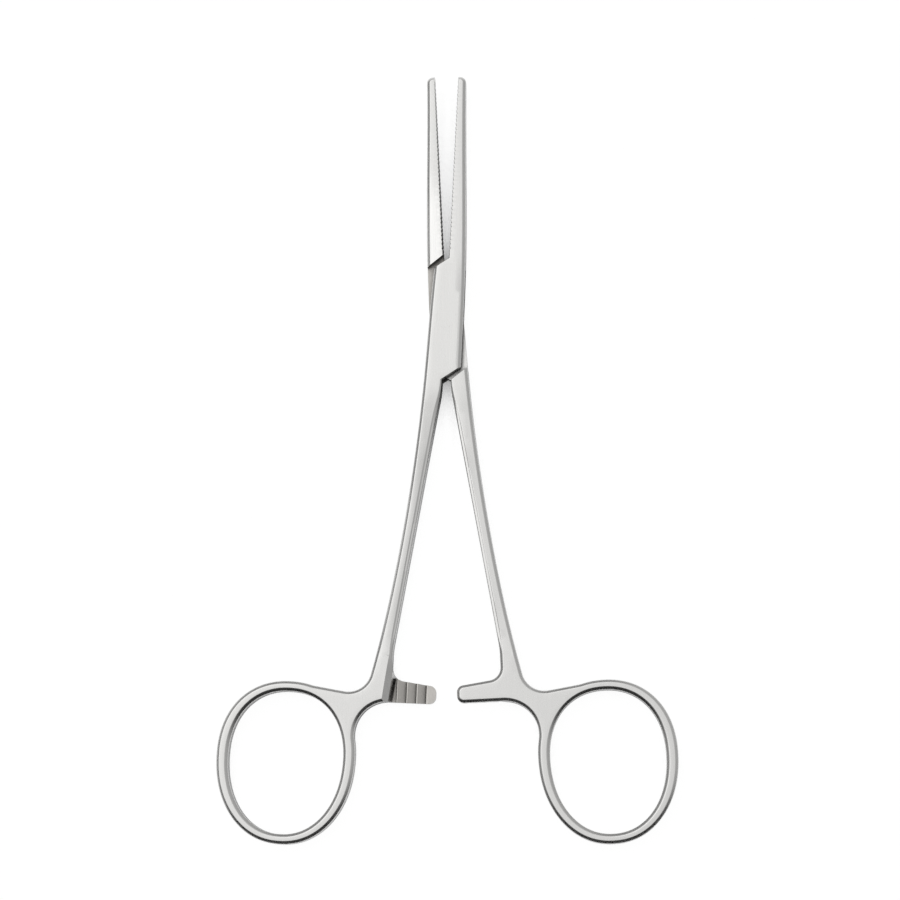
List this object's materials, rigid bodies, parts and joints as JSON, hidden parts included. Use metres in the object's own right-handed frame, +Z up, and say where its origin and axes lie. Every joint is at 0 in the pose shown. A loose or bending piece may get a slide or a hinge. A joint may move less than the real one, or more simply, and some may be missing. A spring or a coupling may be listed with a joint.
{
  "type": "surgical forceps",
  "caption": "Straight ring-handled locking forceps: serrated jaws on a flush box lock, slim shanks with a toothed ratchet, oval finger rings.",
  "frame": {"origin": "on the pivot axis, in the plane of the flat underside of the box", "axes": "+Y to the jaw tips, +Z up along the pivot axis, +X to the ring of the half whose tongue passes through the box"},
  "size_m": [0.0816, 0.1397, 0.0046],
  "materials": {
    "box_half_steel": "satin stainless steel",
    "tongue_half_steel": "satin stainless steel",
    "pin_steel": "satin stainless steel, ground flush"
  },
  "bodies": {
    "box_side": {"box_half": "box_half_steel", "pivot_pin": "pin_steel"},
    "tongue_side": {"tongue_half": "tongue_half_steel"}
  },
  "joints": [
    {"name": "box_lock_pivot", "type": "hinge", "parent": "box_side", "child": "tongue_side", "pos_m": [0, 0, 0], "axis": [0, 0, 1], "range_deg": [-5.35, 54.6]}
  ]
}
